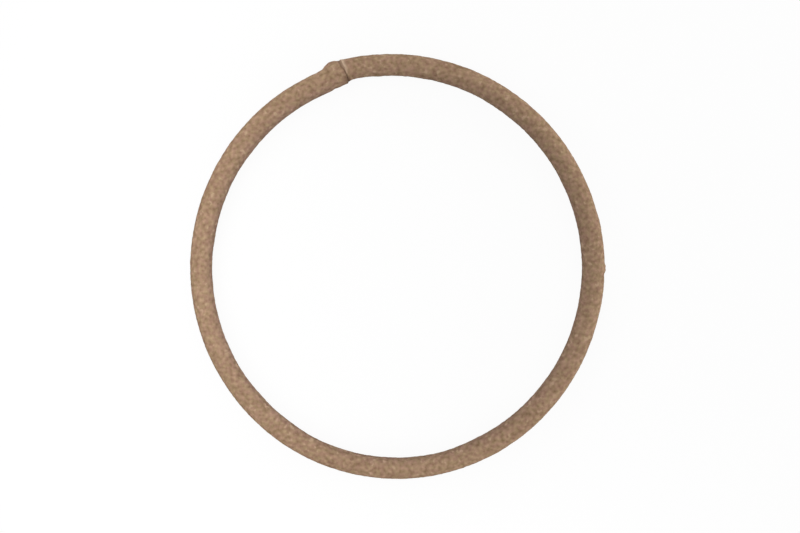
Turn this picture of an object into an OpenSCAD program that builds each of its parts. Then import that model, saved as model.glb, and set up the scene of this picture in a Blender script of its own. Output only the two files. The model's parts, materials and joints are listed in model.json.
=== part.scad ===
// Cork ring: one length of round cork cord bent into a hoop, its two cut ends glued together.
// The hoop lies flat on z = 0, centred on the origin, with its seam a little to the left of +Y.

/* [Cord] */
// Diameter of the round cork cord
cord_d = 5; // [3:0.1:8]

/* [Hoop] */
// Clear width inside the hoop, along X
bore_w = 82.6; // [60:0.1:110]
// Clear length inside the hoop, along Y, a little longer because the hoop relaxes out of round
bore_l = 84.5; // [60:0.1:110]

/* [Seam] */
// Direction that the cord's outer side faces at the seam, anticlockwise from +X
seam_at = 103.5; // [95:0.5:120]
// How far the clockwise end springs outward, past the other end
end_lift = 0.95; // [0.2:0.05:1.5]
// Turn of the knife cut away from square, seen from above
cut_skew = 7; // [0:1:25]
// Lean of the knife cut from upright
cut_lean = 5; // [0:1:15]
// Depth of the open groove round the glued seam
groove_depth = 0.4; // [0.1:0.05:0.8]
// Width of that groove at the surface
groove_w = 0.35; // [0.1:0.05:0.8]

/* [Swelling] */
// Length of the swelling on the anticlockwise end, from the seam to the middle of its round shoulder
swell_l = 2.1; // [1:0.1:6]
// How far the swelling stands proud of the clockwise end's outer side
swell_proud = 0.1; // [0.05:0.05:0.6]

/* [Hidden] */

$fn = 96;
cork_colour = [0.60, 0.49, 0.40];
cord_r = cord_d / 2;

// The middle line is an oval of four arcs, wide ones at the sides and tighter ones at the ends.
// Neighbours meet on the diagonals, so the hoop is laid out in a frame turned onto them.
// There every arc starts and stops on an axis, and arcs on a fine grid meet face to face.
diagonal = 45;
grid = 0.01;
half_w = (bore_w + cord_d) / 2;
half_l = (bore_l + cord_d) / 2;
arc_shift = on_grid((half_l - half_w) * (sqrt(2) + 1));
side_r = on_grid(half_w + arc_shift / sqrt(2));
cap_r = side_r - arc_shift;
centre_offset = arc_shift / 2;

// The clockwise end leaves the oval on a wider arc, tangent to the side.
seam_turn = seam_at - diagonal;
widening = on_grid(end_lift / (1 - cos(seam_turn)));
lift_r = cap_r + widening;
lift_centre = [centre_offset - widening, centre_offset];

// A skewed and leaning cut is wider than the cord, so the groove's V runs this far past the cord's radius.
clearance = cord_r * (1 / (cos(cut_skew) * cos(cut_lean)) - 1) + 0.02 * cord_d;

// Both ends run this angle past the seam before the knife cut.
overrun = turn_along(cord_r, cap_r);

// The seam's middle lies on the clockwise end's own middle line.
seam_middle = lift_centre + lift_r * [cos(seam_turn), sin(seam_turn)];
knife = 4 * cord_d;

// The swelling follows the clockwise end's line, a little further out.
swell_r = lift_r + swell_proud;
swell_turn = turn_along(swell_l, swell_r);

// Nearest length on the grid.
function on_grid(length) = round(length / grid) * grid;

// Angle, in degrees, of a length laid along an arc.
function turn_along(length, radius) = length / radius * 180 / PI;

// A stretch of cord bent round a centre.
module bend(centre, radius, start, turn) {
  translate(centre)
    rotate_extrude(angle = turn, start = start)
      translate([radius, cord_r])
        circle(d = cord_d);
}

// Puts its children on the plane of the knife cut: X runs outward across the cord, Y along it.
module at_seam() {
  translate([seam_middle.x, seam_middle.y, cord_r])
    rotate(seam_turn + cut_skew)
      rotate([cut_lean, 0, 0])
        children();
}

// What the knife takes off one side of the cut: side is 1 anticlockwise of it and -1 clockwise.
module knife_side(side) {
  at_seam()
    translate([0, side * knife / 2, 0])
      cube(knife, center = true);
}

module clockwise_end() {
  difference() {
    bend(lift_centre, lift_r, 0, seam_turn + overrun);
    knife_side(1);
  }
}

module anticlockwise_end() {
  from = seam_turn - overrun;
  difference() {
    union() {
      bend([centre_offset, centre_offset], cap_r, from, 90 - from);
      swelling();
    }
    knife_side(-1);
  }
}

// A short stretch of cord beside the anticlockwise end, closed by a round shoulder.
module swelling() {
  translate(lift_centre)
    rotate(seam_turn + swell_turn) {
      bend([0, 0], swell_r, -swell_turn - overrun, swell_turn + overrun);
      translate([swell_r, 0, cord_r])
        intersection() {
          sphere(d = cord_d);
          translate([-cord_d, 0, -cord_d])
            cube(2 * cord_d);
        }
    }
}

// A V-shaped groove round the seam, in the plane of the cut.
// Just outside the clockwise end's skin its sides turn parallel, so that the step keeps a straight cut face.
module seam_groove() {
  brim = groove_depth + clearance;
  flare = groove_w / 2 * brim / groove_depth;
  reach = groove_depth + cord_r;
  at_seam()
    rotate([90, 0, 0])
      rotate_extrude()
        translate([cord_r - groove_depth, 0])
          polygon([[0, 0], [brim, flare], [reach, flare], [reach, -flare], [brim, -flare]]);
}

module cork_ring() {
  color(cork_colour)
    rotate(diagonal)
      difference() {
        union() {
          bend([centre_offset, -centre_offset], side_r, 90, 90);
          bend([-centre_offset, -centre_offset], cap_r, 180, 90);
          bend([-centre_offset, centre_offset], side_r, 270, 90);
          clockwise_end();
          anticlockwise_end();
        }
        seam_groove();
      }
}

cork_ring();
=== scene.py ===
import json
import math

import bmesh
import bpy
import numpy as np
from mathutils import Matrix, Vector

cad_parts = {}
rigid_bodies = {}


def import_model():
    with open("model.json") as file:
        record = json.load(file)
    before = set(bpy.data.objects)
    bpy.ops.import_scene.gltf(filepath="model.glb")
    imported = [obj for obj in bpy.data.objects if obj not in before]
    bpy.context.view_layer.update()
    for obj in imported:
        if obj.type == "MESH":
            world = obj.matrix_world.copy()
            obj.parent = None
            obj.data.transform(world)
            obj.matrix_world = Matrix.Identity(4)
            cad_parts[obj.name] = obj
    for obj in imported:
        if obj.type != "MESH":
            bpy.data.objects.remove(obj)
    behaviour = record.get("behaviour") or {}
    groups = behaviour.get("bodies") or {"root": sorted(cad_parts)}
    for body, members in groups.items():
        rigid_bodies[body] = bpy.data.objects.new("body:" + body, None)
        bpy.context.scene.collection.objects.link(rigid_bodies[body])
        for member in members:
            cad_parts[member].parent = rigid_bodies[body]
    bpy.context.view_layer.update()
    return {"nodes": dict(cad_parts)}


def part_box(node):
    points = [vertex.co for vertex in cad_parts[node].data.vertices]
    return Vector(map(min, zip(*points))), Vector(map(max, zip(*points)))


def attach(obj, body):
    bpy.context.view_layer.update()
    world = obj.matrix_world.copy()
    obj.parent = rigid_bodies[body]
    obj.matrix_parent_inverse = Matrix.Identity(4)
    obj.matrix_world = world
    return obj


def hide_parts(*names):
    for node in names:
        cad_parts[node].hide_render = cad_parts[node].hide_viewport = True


# A cork ring: one length of round composition-cork cord, bent into a hoop and glued end to end.
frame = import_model()

MM = 0.001
QUARTER_TURN = math.pi / 2
UP = Vector((0, 0, 1))


def heading(angle):
    """Unit vector in the floor's plane, anticlockwise from +X."""
    return Vector((math.cos(angle), math.sin(angle), 0))


def clamped(value):
    """The value, held between 0 and 1."""
    return min(max(value, 0), 1)


# Cord and hoop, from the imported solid, with the hoop's length taken at the bottom, away from the seam
low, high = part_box("cork_ring")
cord_r = (high.z - low.z) / 2
half_w = (high.x - low.x) / 2 - cord_r
half_l = -low.y - cord_r
cord_middle = Vector((0, 0, cord_r))

# The middle line: wide arcs at the sides and tighter ones at the ends, which meet on the diagonals
DIAGONAL = math.radians(45)
centre_shift = (half_l - half_w) * (1 + math.sqrt(0.5))
side_r = half_w + centre_shift
cap_r = half_l - centre_shift
right_centre = cord_middle - centre_shift * heading(0)
left_centre = cord_middle + centre_shift * heading(0)
bottom_centre = cord_middle - centre_shift * heading(QUARTER_TURN)
top_centre = cord_middle + centre_shift * heading(QUARTER_TURN)

# Seam, as the solid has it
SEAM_AT = math.radians(103.5)
END_LIFT = 0.95 * MM
CUT_SKEW = math.radians(7)
CUT_LEAN = math.radians(5)
seam_outward = heading(SEAM_AT + CUT_SKEW)
seam_along = heading(SEAM_AT + CUT_SKEW + QUARTER_TURN)

# The lifted end leaves the oval on a wider arc of its own, and the swollen end keeps to the oval
widening = END_LIFT / (1 - math.cos(SEAM_AT - DIAGONAL))
lift_r = cap_r + widening
lift_centre = top_centre - widening * heading(DIAGONAL)
seam_middle = lift_centre + lift_r * heading(SEAM_AT)
swollen_end = seam_middle - top_centre
swollen_end_at = math.atan2(swollen_end.y, swollen_end.x)

# The two ends of the cord, by the side of the seam that they lie on
SWOLLEN = 1
LIFTED = -1

# The two sides of the cord, by the way that they face
OUTER = 1
INNER = -1


def middle_line_r(at):
    """Distance of the middle line from the hoop's axis, at an angle."""
    return half_w + (half_l - half_w) * np.sin(at) ** 2


# Framing of the photograph, which looks straight down on the ring
PHOTO_W = 800
PHOTO_H = 533
RING_PX = Vector((397.17, 267.73))
CORD_PX = 22.35
pixel = 2 * cord_r / CORD_PX


def at_pixel(across, down):
    """Place at the cord's middle height that shows at a pixel of the photograph."""
    return Vector(((across - RING_PX.x) * pixel, (RING_PX.y - down) * pixel, cord_r))


# Places read off the photograph
SWELLING_FOOT = at_pixel(322.3, 69.9)
SHOULDER = at_pixel(328, 64.5)
CRUMB_PLACE = at_pixel(604.1, 268.5)

# Middle of a pattern's values, which run from 0 to 1
HALFWAY = 0.5

# Sockets of a Mix node that colours use
MIX_FACTOR = 0
MIX_FIRST = 6
MIX_SECOND = 7
MIX_COLOUR = 2


class Wire:
    """A socket in a node tree, or the bare tree to start from. Arithmetic on it adds Math nodes."""

    def __init__(self, tree, socket=None):
        self.tree = tree
        self.socket = socket

    def add(self, kind, settings=None, values=None, out=0):
        """Adds a node, sets it up, feeds its sockets and returns one of its outputs, if it has any."""
        node = self.tree.nodes.new(kind)
        for name, setting in (settings or {}).items():
            setattr(node, name, setting)
        for name, value in (values or {}).items():
            if isinstance(value, Wire):
                self.tree.links.new(value.socket, node.inputs[name])
            else:
                node.inputs[name].default_value = value
        return Wire(self.tree, node.outputs[out] if len(node.outputs) else None)

    def math(self, operation, first, second):
        """Adds a Math node."""
        return self.add("ShaderNodeMath", {"operation": operation}, {0: first, 1: second})

    def __add__(self, other):
        return self.math("ADD", self, other)

    def __radd__(self, other):
        return self.math("ADD", other, self)

    def __sub__(self, other):
        return self.math("SUBTRACT", self, other)

    def __rsub__(self, other):
        return self.math("SUBTRACT", other, self)

    def __mul__(self, other):
        return self.math("MULTIPLY", self, other)

    def __rmul__(self, other):
        return self.math("MULTIPLY", other, self)

    def step(self, start, stop):
        """0 below start, 1 above stop and smooth between them."""
        values = {"Value": self, "From Min": start, "From Max": stop}
        return self.add("ShaderNodeMapRange", {"interpolation_type": "SMOOTHSTEP"}, values)

    def blend(self, colour, other):
        """The first colour where this value is 0 and the other where it is 1."""
        values = {MIX_FACTOR: self, MIX_FIRST: colour, MIX_SECOND: other}
        return self.add("ShaderNodeMix", {"data_type": "RGBA"}, values, out=MIX_COLOUR)

    def tinted(self, tint):
        """This colour, multiplied by a tint."""
        settings = {"data_type": "RGBA", "blend_type": "MULTIPLY"}
        values = {MIX_FACTOR: 1.0, MIX_FIRST: self, MIX_SECOND: tint}
        return self.add("ShaderNodeMix", settings, values, out=MIX_COLOUR)


def start_nodes(owner):
    """The node tree of a material or a world, emptied to start from."""
    owner.use_nodes = True
    owner.node_tree.nodes.clear()
    return Wire(owner.node_tree)


# Fineness of the mesh, before each face is cut in four
SECTION_SIDES = 34
LOOP_SPACING = 0.41 * MM
MERGE_GAP = 0.01 * MM

# The crack that shows along the seam
CRACK_W = 0.48 * MM
CRACK_FLOOR_W = 0.2 * MM
CRACK_SIDE_DEPTH = 0.05 * MM
CRACK_TOP_DEPTH = 0.2 * MM

# How far the swelling runs from the seam and onto the inner side, and how far the cork is drawn at most
swelling_length = 3 * cord_r
swelling_onto_inner = 0.3 * cord_r
swelling_limit = 0.6 * cord_r


def bend_cord():
    """The cord, bent round the hoop from its lifted end clockwise to its swollen end, both ends open."""
    back = CRACK_W / 2
    start_at = SEAM_AT - back / lift_r
    stop_at = swollen_end_at + (back - END_LIFT * math.sin(CUT_SKEW)) / cap_r
    bpy.ops.object.select_all(action="DESELECT")
    bpy.ops.mesh.primitive_circle_add(
        vertices=SECTION_SIDES,
        radius=cord_r,
        location=lift_centre + lift_r * heading(start_at),
        rotation=(QUARTER_TURN + CUT_LEAN, 0, start_at + CUT_SKEW),
        scale=(1 / math.cos(CUT_SKEW), 1 / math.cos(CUT_LEAN), 1),
    )
    hoop = bpy.context.object
    hoop.name = "cork_hoop"
    hoop.data.name = "cork_hoop"
    bpy.ops.object.transform_apply(location=True, rotation=True, scale=True)
    bpy.ops.object.mode_set(mode="EDIT")
    bpy.ops.mesh.select_all(action="SELECT")
    for centre, radius, turn in (
        (lift_centre, lift_r, start_at - DIAGONAL),
        (right_centre, side_r, QUARTER_TURN),
        (bottom_centre, cap_r, QUARTER_TURN),
        (left_centre, side_r, QUARTER_TURN),
        (top_centre, cap_r, math.pi - DIAGONAL - stop_at),
    ):
        steps = round(radius * turn / LOOP_SPACING)
        bpy.ops.mesh.spin(steps=steps, angle=turn, center=centre, axis=UP)
    bpy.ops.mesh.select_all(action="SELECT")
    bpy.ops.mesh.remove_doubles(threshold=MERGE_GAP)
    bpy.ops.mesh.normals_make_consistent(inside=False)
    bpy.ops.object.mode_set(mode="OBJECT")
    return hoop


def finish_with(piece, kind, **settings):
    """Adds a modifier to the piece, sets it up and applies it."""
    modifier = piece.modifiers.new(kind.lower(), kind)
    for name, setting in settings.items():
        setattr(modifier, name, setting)
    bpy.ops.object.modifier_apply(modifier=modifier.name)


def swell_end(piece):
    """Draws the swollen end out to the solid's swelling."""
    group = piece.vertex_groups.new(name="swollen_end")
    near = []
    for vertex in piece.data.vertices:
        apart = vertex.co - seam_middle
        on_outer_side = apart.dot(seam_outward) > -swelling_onto_inner
        if apart.length < swelling_length and apart.dot(seam_along) > 0 and on_outer_side:
            near.append(vertex.index)
    group.add(near, 1.0, "REPLACE")
    finish_with(
        piece,
        "SHRINKWRAP",
        target=frame["nodes"]["cork_ring"],
        wrap_method="PROJECT",
        use_negative_direction=True,
        use_positive_direction=True,
        project_limit=swelling_limit,
        vertex_group=group.name,
    )
    piece.vertex_groups.clear()


# Stretches where a side of the cord lies further out than on the rest, or further in:
# the headings where each starts and stops, in degrees, the side, how far outward that side lies,
# and the length over which it runs out into the rest, both in millimetres
UNEVEN = (
    (2.5, 13, OUTER, 0.13, 3),
    (66, 92, INNER, 0.1, 6),
    (98, 100.5, INNER, 0.22, 2),
    (102.4, 103.3, INNER, 0.16, 1.2),
    (106.2, 108.8, INNER, 0.24, 1.6),
    (117, 140, INNER, -0.1, 6),
    (178, 214, INNER, 0.1, 6),
    (243, 282, INNER, 0.21, 6),
    (296, 318, INNER, -0.08, 6),
    (350, 356, OUTER, 0.1, 3),
)

# Presses that round off the swelling: the place, the heading in degrees and how far, in millimetres
SWELLING_PRESSES = (
    (SWELLING_FOOT, 125, 0.2),
    (SHOULDER, 140, 0.12),
)
SWELLING_SPOT = 0.6 * MM
SWELLING_REACH = 1.6 * MM
FOOT_SPOT = 1.8 * MM
FOOT_SMOOTHING = 0.5
FOOT_PASSES = 20

# Parts of a cut rim, in degrees from its outer side, up over the top and down to its inner side
RIM_OUTER = 0
RIM_ABOVE_OUTER = 22
RIM_UPPER_OUTER = 60
RIM_UPPER_INNER = 121
RIM_INNER = 180

# Presses on the cut rims: the end, the part of its rim, how far that moves outward and along the cord
# anticlockwise, and how far off the cork is still drawn along, in millimetres
RIM_PRESSES = (
    (LIFTED, RIM_INNER, -0.22, 0.12, 0.9),
    (SWOLLEN, RIM_INNER, 0.3, 0.03, 2.0),
    (SWOLLEN, RIM_INNER, 0.1, 0, 0.6),
    (SWOLLEN, RIM_OUTER, -0.1, 0, 1.2),
    (LIFTED, RIM_OUTER, 0.08, 0, 0.8),
    (SWOLLEN, RIM_ABOVE_OUTER, 0, 0.36, 1.3),
    (LIFTED, RIM_ABOVE_OUTER, 0, 0.16, 1.3),
    (LIFTED, RIM_UPPER_OUTER, 0, -0.12, 0.7),
    (SWOLLEN, RIM_UPPER_OUTER, 0, -0.04, 0.7),
    (LIFTED, RIM_UPPER_INNER, 0, 0.05, 0.8),
)

# How squarely the cork has to face a side, or a part of a rim, to move with it, as a cosine
SIDE_FACING = 0.75
RIM_FACING = 0.85

# The loose crumb on the outer side
CRUMB_PROUD = 0.07 * MM
CRUMB_SPOT = 0.5 * MM
CRUMB_REACH = 1.6 * MM

# Its tips: how far along the cord each one lies and how far proud it stands, in millimetres
CRUMB_TIPS = (
    (0.85, 0.08),
    (0.3, 0.2),
    (-0.2, 0.25),
    (-0.75, 0.12),
)
TIP_SPOT = 0.2 * MM
TIP_REACH = 0.42 * MM


def select_vertices(piece, chosen):
    """Selects the vertices that are chosen, and no others."""
    mesh = bmesh.from_edit_mesh(piece.data)
    bpy.ops.mesh.select_all(action="DESELECT")
    for vertex in mesh.verts:
        if chosen(vertex):
            vertex.select_set(True)
    mesh.select_flush_mode()
    bmesh.update_edit_mesh(piece.data)


def select_near(piece, place, spot):
    """Selects the vertices within a distance of a place."""
    select_vertices(piece, lambda vertex: (vertex.co - place).length < spot)


def select_stretch(piece, start, stop, side):
    """Selects one side of the cord between two headings."""

    def on_stretch(vertex):
        at = math.atan2(vertex.co.y, vertex.co.x) % math.tau
        return start < at < stop and side * vertex.normal.dot(heading(at)) > SIDE_FACING

    select_vertices(piece, on_stretch)


def select_rim(piece, side, towards=None):
    """Selects the cut rim of one end of the cord, or only the part of it that faces one way."""
    mesh = bmesh.from_edit_mesh(piece.data)
    rim = set()
    for edge in mesh.edges:
        if edge.is_boundary:
            edge_middle = (edge.verts[0].co + edge.verts[1].co) / 2
            into = edge.link_faces[0].calc_center_median() - edge_middle
            if side * into.dot(seam_along) > 0:
                rim.update(edge.verts)
    middle = sum((vertex.co for vertex in rim), Vector()) / len(rim)
    if towards:
        rim = {vertex for vertex in rim if (vertex.co - middle).normalized().dot(towards) > RIM_FACING}
    select_vertices(piece, lambda vertex: vertex in rim)
    return middle


def press_selected(move, reach):
    """Moves what is selected, and draws the cork round it along."""
    bpy.ops.transform.translate(
        value=move,
        use_proportional_edit=True,
        proportional_edit_falloff="SMOOTH",
        proportional_size=reach,
        use_proportional_connected=True,
    )


def vary_thickness(piece):
    """Draws a side of the cord out or in where the cord is not quite even."""
    for start, stop, side, outward, run_out in UNEVEN:
        start_at = math.radians(start)
        stop_at = math.radians(stop)
        select_stretch(piece, start_at, stop_at, side)
        press_selected(outward * MM * heading((start_at + stop_at) / 2), run_out * MM)


def round_swelling(piece):
    """Fills the hollow at the foot of the swelling, and fills out its shoulder."""
    select_near(piece, SWELLING_FOOT, FOOT_SPOT)
    bpy.ops.mesh.vertices_smooth(factor=FOOT_SMOOTHING, repeat=FOOT_PASSES)
    for place, towards, proud in SWELLING_PRESSES:
        select_near(piece, place, SWELLING_SPOT)
        press_selected(proud * MM * heading(math.radians(towards)), SWELLING_REACH)


def press_rims(piece):
    """Presses the cut rims to the shape that the knife and the glue left."""
    for side, part, outward, along, reach in RIM_PRESSES:
        turn = math.radians(part)
        select_rim(piece, side, math.cos(turn) * seam_outward + math.sin(turn) * UP)
        press_selected(outward * MM * seam_outward + along * MM * seam_along, reach * MM)


def raise_crumb(piece):
    """Raises the loose crumb on the outer side, at the right, and frays it into small tips."""
    select_near(piece, CRUMB_PLACE, CRUMB_SPOT)
    press_selected((CRUMB_PROUD, 0, 0), CRUMB_REACH)
    for along, proud in CRUMB_TIPS:
        tip = CRUMB_PLACE + Vector((CRUMB_PROUD, along * MM, 0))
        select_near(piece, tip, TIP_SPOT)
        press_selected((proud * MM, 0, 0), TIP_REACH)


# How far the lip and the painted shade in the hollow of the swollen end reach from the crack, and how far
# the lip keeps its full strength
LIP_W = 0.875 * MM
LIP_FULL_W = 0.25 * MM
HOLLOW_SHADE_W = 1.3 * MM

# Strength of each mark at the middle of the cord's width, and what it gains a radius further to one side
LIP_MIDDLE = 0.75
LIP_OUTWARD = 1.1
GLUE_MIDDLE = 0.3
GLUE_OUTWARD = 0.4
CRACK_SHADE_INWARD = 0.8
NOTCH_MIDDLE = -1.5
NOTCH_INWARD = 2.5
HOLLOW_SHADE_INWARD = 2.4

# Share of the crack's glue and its painted shade that shows on the rim, and the most painted shade that
# shows in the hollow of the swollen end
RIM_GLUE_AND_SHADE = 0.8
HOLLOW_SHADE_SHARE = 0.6

# Loops of the mesh that each mark can take up, besides the rim
LIP_LOOPS = 4
NOTCH_LOOPS = 2
HOLLOW_SHADE_LOOPS = 6


def mark_selected(piece, name, strength):
    """Gives the selected vertices a named value, which depends on their place."""
    mesh = bmesh.from_edit_mesh(piece.data)
    layers = mesh.verts.layers.float
    layer = layers.get(name) or layers.new(name)
    for vertex in mesh.verts:
        if vertex.select:
            vertex[layer] = strength(vertex.co)
    bmesh.update_edit_mesh(piece.data)


def outer_share(place):
    """How far a place lies outward of the seam's middle, in radii of the cord."""
    return (place - seam_middle).dot(seam_outward) / cord_r


def past_cut(place):
    """How far a place lies past the knife cut, anticlockwise along the cord."""
    return (place - seam_middle).dot(seam_along)


def lip_strength(place):
    """The lip stands out along the outer side of the lifted rim, and fades towards the inner side."""
    behind = -past_cut(place) - CRACK_W / 2
    fade = (LIP_W - behind) / (LIP_W - LIP_FULL_W)
    return clamped(LIP_MIDDLE + LIP_OUTWARD * outer_share(place)) * clamped(fade)


def crack_glue_and_shade_strength(place):
    """Glue in the crack shows some at the outer end and least in between; towards the inner end it is
    painted darker, as shade.
    """
    outer = outer_share(place)
    return clamped(GLUE_MIDDLE + max(GLUE_OUTWARD * outer, -CRACK_SHADE_INWARD * outer))


def rim_glue_and_shade_strength(place):
    """A little less of the glue and its painted shade shows on the rim than in the crack."""
    return RIM_GLUE_AND_SHADE * crack_glue_and_shade_strength(place)


def notch_shade_strength(place):
    """Painted shadow in the notch at the inner end of the crack, beside the lifted rim, in the glue's
    colour.
    """
    return clamped(NOTCH_MIDDLE - NOTCH_INWARD * outer_share(place))


def hollow_shade_strength(place):
    """Painted shade in the hollow on the inner side of the swollen end, in the glue's colour, less and less
    away from the crack.
    """
    return HOLLOW_SHADE_SHARE * clamped(-HOLLOW_SHADE_INWARD * outer_share(place)) * clamped(1 - past_cut(place) / HOLLOW_SHADE_W)


def inward_share(place):
    """How far a place lies inside the middle line: 1 at the cord's inner side and -1 at its outer side."""
    at = math.atan2(place.y, place.x)
    return (middle_line_r(at) - math.hypot(place.x, place.y)) / cord_r


def mark_seam(piece):
    """Marks where the lip and the glue show beside the crack, and the painted shade in the notch and in the
    hollow of the swollen end.
    """
    for side, loops, name, strength in (
        (LIFTED, LIP_LOOPS, "lip", lip_strength),
        (LIFTED, NOTCH_LOOPS, "glue_and_shade", notch_shade_strength),
        (SWOLLEN, HOLLOW_SHADE_LOOPS, "glue_and_shade", hollow_shade_strength),
        (SWOLLEN, 0, "glue_and_shade", rim_glue_and_shade_strength),
    ):
        select_rim(piece, side)
        for loop in range(loops):
            bpy.ops.mesh.select_more()
        mark_selected(piece, name, strength)


def close_seam(piece):
    """Turns both open ends in to the floor of a crack with glue on it, painted darker towards the inner end
    as shade, and joins them there.
    """
    across = 1 - CRACK_SIDE_DEPTH / cord_r
    down = 1 - CRACK_TOP_DEPTH / cord_r
    for side in (SWOLLEN, LIFTED):
        middle = select_rim(piece, side)
        forward = -side * (CRACK_W - CRACK_FLOOR_W) / 2 * seam_along
        bpy.ops.mesh.extrude_edges_move(TRANSFORM_OT_translate={"value": forward})
        bpy.ops.transform.resize(value=(across, across, down), center_override=middle + forward)
        mark_selected(piece, "glue_and_shade", crack_glue_and_shade_strength)
    bpy.ops.mesh.select_all(action="DESELECT")
    bpy.ops.mesh.select_mode(type="EDGE")
    bpy.ops.mesh.select_non_manifold(
        extend=False,
        use_wire=False,
        use_boundary=True,
        use_multi_face=False,
        use_non_contiguous=False,
        use_verts=False,
    )
    bpy.ops.mesh.bridge_edge_loops()
    bpy.ops.mesh.select_all(action="SELECT")
    bpy.ops.mesh.normals_make_consistent(inside=False)


def mark_sides(piece):
    """Marks how far each place lies towards the cord's inner side, which the painted shade of the inner
    side follows.
    """
    bpy.ops.mesh.select_all(action="SELECT")
    mark_selected(piece, "inward", inward_share)


# Sizes of the cork's granules and of the patterns on it
GRANULE = 0.85 * MM
FINE_GRANULE = 0.4 * MM
WANDER = GRANULE / 0.9
WANDER_REACH = 0.7 * GRANULE
LUMP = 0.85 * MM
LUMP_DETAIL = 0.6
GRAIN = 0.3 * MM
GRAIN_DETAIL = 2.0
TINT = 1.0 * MM
DRIFT = 18 * MM
WAVE = 6 * MM

# Heights of the relief, and the lump that lies level with the cord's smooth surface
WAVE_H = 0.14 * MM
LUMP_H = 0.16 * MM
LUMP_LEVEL = 0.3
GRANULE_H = 0.03 * MM
LIP_H = 0.07 * MM


def noise(place, size, detail=1.0, out="Fac"):
    """Soft noise with patches of a size, as values from 0 to 1."""
    values = {"Vector": place, "Scale": 1 / size, "Detail": detail}
    return place.add("ShaderNodeTexNoise", values=values, out=out)


def wandering(place):
    """The place, shifted a little to and fro, so that the granules have uneven outlines."""
    shift = noise(place, WANDER, out="Color")
    shift = place.add("ShaderNodeVectorMath", {"operation": "SUBTRACT"}, {0: shift, 1: 3 * (HALFWAY,)})
    shift = place.add("ShaderNodeVectorMath", {"operation": "SCALE"}, {0: shift, "Scale": WANDER_REACH})
    return place.add("ShaderNodeVectorMath", {"operation": "ADD"}, {0: place, 1: shift})


def granule_tones(place, size):
    """A shade from 0 to 1 for each granule of a size."""
    cells = {"Vector": place, "Scale": 1 / size}
    seat = place.add("ShaderNodeTexVoronoi", {"feature": "F1"}, cells, out="Position")
    return place.add("ShaderNodeTexWhiteNoise", values={"Vector": seat})


def granule_relief():
    """Node tree that raises each granule and the lip out of the cord's smooth surface."""
    tree = bpy.data.node_groups.new("granule_relief", "GeometryNodeTree")
    tree.interface.new_socket("Geometry", in_out="INPUT", socket_type="NodeSocketGeometry")
    tree.interface.new_socket("Geometry", in_out="OUTPUT", socket_type="NodeSocketGeometry")
    start = Wire(tree)
    smooth = start.add("NodeGroupInput")
    place = start.add("GeometryNodeInputPosition")
    outward = start.add("GeometryNodeInputNormal")
    glue_and_shade = start.add("GeometryNodeInputNamedAttribute", {"data_type": "FLOAT"}, {"Name": "glue_and_shade"})
    lip = start.add("GeometryNodeInputNamedAttribute", {"data_type": "FLOAT"}, {"Name": "lip"})
    waves = noise(place, WAVE)
    lump = noise(place, LUMP, LUMP_DETAIL)
    tone = granule_tones(wandering(place), GRANULE)
    height = (waves - HALFWAY) * WAVE_H + (lump - LUMP_LEVEL) * LUMP_H
    height = height + (tone - HALFWAY) * GRANULE_H + lip * LIP_H
    # No relief where the glue and its painted shade are marked
    height = height * (1 - glue_and_shade)
    offset = start.add("ShaderNodeVectorMath", {"operation": "SCALE"}, {0: outward, "Scale": height})
    raised = start.add("GeometryNodeSetPosition", values={"Geometry": smooth, "Offset": offset})
    start.add("NodeGroupOutput", values={"Geometry": raised})
    return tree


# Colours of the cork, from the pits between its granules to their tops, of the glue, which also stands as
# painted shade in the notch and the hollow beside the seam, and of the lip
WHITE = (1, 1, 1, 1)
DARK_CORK = (0.236, 0.144, 0.086, 1)
PALE_CORK = (0.475, 0.317, 0.206, 1)
BROWN_GLUE_AND_SHADE = (0.16, 0.095, 0.06, 1)
PALE_LIP = (0.64, 0.47, 0.34, 1)
LIP_SHARE = 0.78

# How much each pattern changes the shade between dark and pale cork
LUMP_SHADE = 1.35
GRANULE_SHADE = 0.18
FINE_SHADE = 0.1
GRAIN_SHADE = 0.2
DRIFT_SHADE = 0.3

# Tints that the cork leans to in patches, and the step from one to the other
OLIVE = (0.975, 1.017, 0.935, 1)
ROSY = (1.03, 0.978, 1.035, 1)
TINT_STEP = (0.3, 0.7)

# Painted shade: tints that darken the inner half of the cord, and its inner side itself more
INNER_HALF_SHADE = (0.90, 0.895, 0.945, 1)
INNER_HALF_SHADE_STEP = (-0.25, 1.1)
INNER_SIDE_SHADE = (0.87, 0.87, 0.90, 1)
INNER_SIDE_SHADE_STEP = (0.5, 1.05)

# Dark flecks, which are a few of the fine granules, and pale specks, which are the tops of a few large ones
DARK_FLECK = (0.13, 0.075, 0.045, 1)
FLECK_STEP = (0.92, 0.96)
FLECK_SHARE = 0.15
PALE_SPECK = (0.60, 0.43, 0.30, 1)
SPECK_STEP = (0.9, 0.94)
SPECK_TOP_STEP = (0.45, 0.6)
SPECK_SHARE = 0.3

# The skin of the cork: dull, with pores and grain too fine for the mesh
DULLNESS = 0.86
DULLNESS_SPREAD = 0.1
SHINE = 0.1
BUMP_H = 0.05 * MM
BUMP_STRENGTH = 0.5
GRAIN_BUMP = 0.6
LUMP_BUMP = 0.5
FINE_BUMP = 0.3


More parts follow.
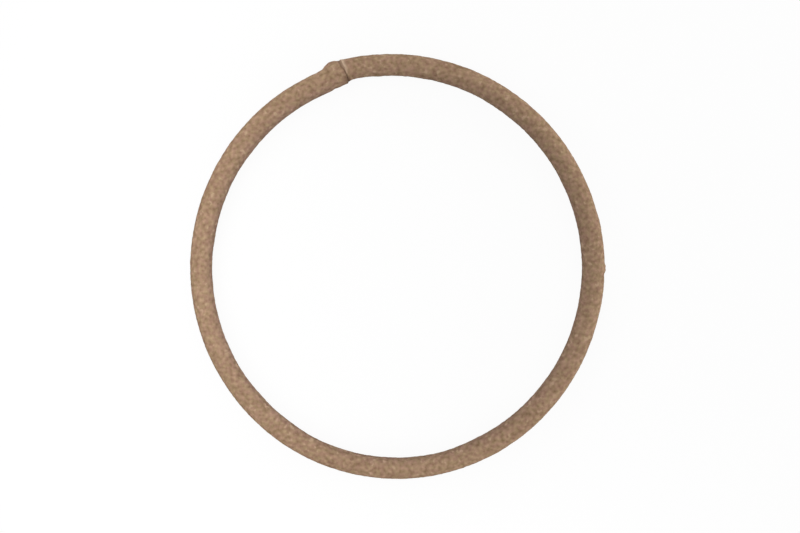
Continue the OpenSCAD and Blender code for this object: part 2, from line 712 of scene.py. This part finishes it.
def paint_cork():
    """Material of the composition cork."""
    material = bpy.data.materials.new("cork")
    start = start_nodes(material)
    place = start.add("ShaderNodeTexCoord", out="Object")
    glue_and_shade = start.add("ShaderNodeAttribute", {"attribute_name": "glue_and_shade"}, out="Fac")
    lip = start.add("ShaderNodeAttribute", {"attribute_name": "lip"}, out="Fac")
    inward = start.add("ShaderNodeAttribute", {"attribute_name": "inward"}, out="Fac")
    bent = wandering(place)
    lump = noise(place, LUMP, LUMP_DETAIL)
    tone = granule_tones(bent, GRANULE)
    fine_tone = granule_tones(bent, FINE_GRANULE)
    grain = noise(place, GRAIN, GRAIN_DETAIL)
    drift = noise(place, DRIFT)
    tint = noise(place, TINT).step(*TINT_STEP)
    shade = HALFWAY
    for pattern, weight in (
        (lump, LUMP_SHADE),
        (tone, GRANULE_SHADE),
        (fine_tone, FINE_SHADE),
        (grain, GRAIN_SHADE),
        (drift, DRIFT_SHADE),
    ):
        shade = shade + weight * (pattern - HALFWAY)
    colour = shade.blend(DARK_CORK, PALE_CORK)
    colour = colour.tinted(tint.blend(OLIVE, ROSY))
    # Painted shade, darker over the inner half and most on the inner side
    colour = colour.tinted(inward.step(*INNER_HALF_SHADE_STEP).blend(WHITE, INNER_HALF_SHADE))
    colour = colour.tinted(inward.step(*INNER_SIDE_SHADE_STEP).blend(WHITE, INNER_SIDE_SHADE))
    fleck = fine_tone.step(*FLECK_STEP) * FLECK_SHARE
    colour = fleck.blend(colour, DARK_FLECK)
    speck = tone.step(*SPECK_STEP) * lump.step(*SPECK_TOP_STEP) * SPECK_SHARE
    colour = speck.blend(colour, PALE_SPECK)
    colour = (lip * LIP_SHARE).blend(colour, PALE_LIP)
    # Glue in the crack, and painted shade in the notch, in the hollow of the swollen end and at the crack's
    # inner end
    colour = glue_and_shade.blend(colour, BROWN_GLUE_AND_SHADE)
    height = grain * GRAIN_BUMP + lump * LUMP_BUMP + fine_tone * FINE_BUMP
    bump = {"Height": height, "Distance": BUMP_H, "Strength": BUMP_STRENGTH}
    skin = {
        "Base Color": colour,
        "Roughness": DULLNESS + (tone - HALFWAY) * DULLNESS_SPREAD,
        "Specular IOR Level": SHINE,
        "Normal": start.add("ShaderNodeBump", values=bump),
    }
    surface = start.add("ShaderNodeBsdfPrincipled", values=skin)
    start.add("ShaderNodeOutputMaterial", values={"Surface": surface})
    return material


# Rows of the flat map of the skin, and the margin round each as a share of its size
MAP_ROWS = 4
MAP_MARGIN = 0.03


def read_out(items, name, kind=np.int32, each=1):
    """A named value of all the items of a mesh, as one array."""
    values = np.empty(each * len(items), dtype=kind)
    items.foreach_get(name, values)
    return values


def lay_out_map(piece):
    """A flat map of the skin, cut along the underside, in rows that follow one another round the hoop."""
    mesh = piece.data
    across, along, above = read_out(mesh.vertices, "co", np.float64, 3).reshape(-1, 3).T
    corner = read_out(mesh.loops, "vertex_index")
    first = read_out(mesh.polygons, "loop_start")
    count = read_out(mesh.polygons, "loop_total")
    face = np.repeat(np.arange(len(first)), count)

    def unwrapped(lap):
        """The lap at each corner of a face, with no jump from that at the face's first corner."""
        start = lap[corner[first]][face]
        return start + np.mod(lap[corner] - start + 0.5, 1) - 0.5

    at = np.arctan2(along, across)
    turn = unwrapped(np.mod((at - SEAM_AT) / math.tau, 1))
    side = unwrapped(np.arctan2(np.hypot(across, along) - middle_line_r(at), above - cord_r) / math.tau)
    row = np.clip(np.floor(MAP_ROWS * np.bincount(face, turn) / count), 0, MAP_ROWS - 1)[face]
    inside = 1 - 2 * MAP_MARGIN
    flat = np.empty((len(corner), 2))
    flat[:, 0] = MAP_MARGIN + inside * (MAP_ROWS * turn - row)
    flat[:, 1] = (row + MAP_MARGIN + inside * (side + 0.5)) / MAP_ROWS
    layer = mesh.uv_layers.new(name="OFBake")
    layer.uv.foreach_set("vector", flat.astype(np.float32).ravel())


# Camera, straight above the middle of the photograph
CAMERA_H = 600 * MM
SENSOR_W = 36

# Floor
FLOOR_W = 3.0
FLOOR_GAP = 0.08 * MM
FLOOR_GREY = (0.18, 0.18, 0.18, 1)
FLOOR_GLOW = 0.94

# Strengths of the background as it shows, and of the light from all round
BACKDROP = 1.0
AROUND = 0.463

# Lamps: each one's place, the place that it points at, its width and height in metres, and its watts
LAMPS = (
    ("left_lamp", (-0.075, 0.003, 0.06), (-0.045, 0, 0), 0.16, 0.05, 0.043),
    ("right_lamp", (0.40, 0, 0.05), (0, 0, 0), 0.15, 0.08, 0.805),
    ("back_lamp", (0, 0.40, 0.13), (0, 0, 0), 0.15, 0.15, 0.535),
    ("front_lamp", (-0.005, -0.09, 0.042), (0, -0.045, 0), 0.16, 0.05, 0.026),
)


def place_camera():
    """Camera with the framing of the photograph."""
    data = bpy.data.cameras.new("camera")
    data.sensor_width = SENSOR_W
    data.lens = SENSOR_W * CAMERA_H / (PHOTO_W * pixel)
    camera = bpy.data.objects.new("camera", data)
    camera.location = at_pixel(PHOTO_W / 2, PHOTO_H / 2) + CAMERA_H * UP
    bpy.context.scene.collection.objects.link(camera)
    bpy.context.scene.camera = camera
    bpy.context.scene.view_settings.view_transform = "Standard"


def seen_directly(start):
    """1 for what the camera sees, also in a gloss or through glass, and 0 for light on its way."""
    seen = start.add("ShaderNodeLightPath", out="Is Camera Ray")
    for ray in ("Is Glossy Ray", "Is Transmission Ray"):
        seen = start.math("MAXIMUM", seen, start.add("ShaderNodeLightPath", out=ray))
    return seen


def lay_floor():
    """Plain grey floor. The camera sees it white, with the ring's shadow on it."""
    bpy.ops.object.select_all(action="DESELECT")
    bpy.ops.mesh.primitive_plane_add(size=FLOOR_W, location=(0, 0, low.z - FLOOR_GAP))
    floor = bpy.context.object
    floor.name = "floor"
    bpy.ops.object.transform_apply(location=True, rotation=True, scale=True)
    material = bpy.data.materials.new("floor")
    start = start_nodes(material)
    grey = start.add("ShaderNodeBsdfDiffuse", values={"Color": FLOOR_GREY})
    lit = start.add("ShaderNodeBsdfDiffuse", values={"Color": WHITE})
    glow = start.add("ShaderNodeEmission", values={"Color": WHITE, "Strength": BACKDROP})
    white = start.add("ShaderNodeMixShader", values={0: FLOOR_GLOW, 1: lit, 2: glow})
    mixed = start.add("ShaderNodeMixShader", values={0: seen_directly(start), 1: grey, 2: white})
    start.add("ShaderNodeOutputMaterial", values={"Surface": mixed})
    floor.data.materials.append(material)


def light_world():
    """Even light from all round, behind a white background."""
    world = bpy.data.worlds.new("studio")
    bpy.context.scene.world = world
    start = start_nodes(world)
    around = start.add("ShaderNodeBackground", values={"Color": WHITE, "Strength": AROUND})
    backdrop = start.add("ShaderNodeBackground", values={"Color": WHITE, "Strength": BACKDROP})
    mixed = start.add("ShaderNodeMixShader", values={0: seen_directly(start), 1: around, 2: backdrop})
    start.add("ShaderNodeOutputWorld", values={"Surface": mixed})


def hang_lamp(name, place, aim, width, height, power):
    """A soft lamp, which lights the ring without showing in the picture."""
    data = bpy.data.lights.new(name, "AREA")
    data.shape = "RECTANGLE"
    data.size = width
    data.size_y = height
    data.energy = power
    lamp = bpy.data.objects.new(name, data)
    lamp.location = place
    lamp.rotation_euler = (Vector(aim) - Vector(place)).to_track_quat("-Z", "Y").to_euler()
    lamp.visible_camera = False
    bpy.context.scene.collection.objects.link(lamp)


# The ring
ring = bend_cord()
finish_with(ring, "SUBSURF", levels=1, render_levels=1)
swell_end(ring)
bpy.ops.object.mode_set(mode="EDIT")
bpy.ops.mesh.select_mode(type="VERT")
vary_thickness(ring)
round_swelling(ring)
press_rims(ring)
raise_crumb(ring)
mark_seam(ring)
close_seam(ring)
mark_sides(ring)
bpy.ops.object.mode_set(mode="OBJECT")
finish_with(ring, "NODES", node_group=granule_relief())
bpy.ops.object.shade_smooth()
ring.data.materials.append(paint_cork())
lay_out_map(ring)

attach(ring, "root")
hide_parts("cork_ring")

# The studio
place_camera()
lay_floor()
light_world()
for lamp in LAMPS:
    hang_lamp(*lamp)
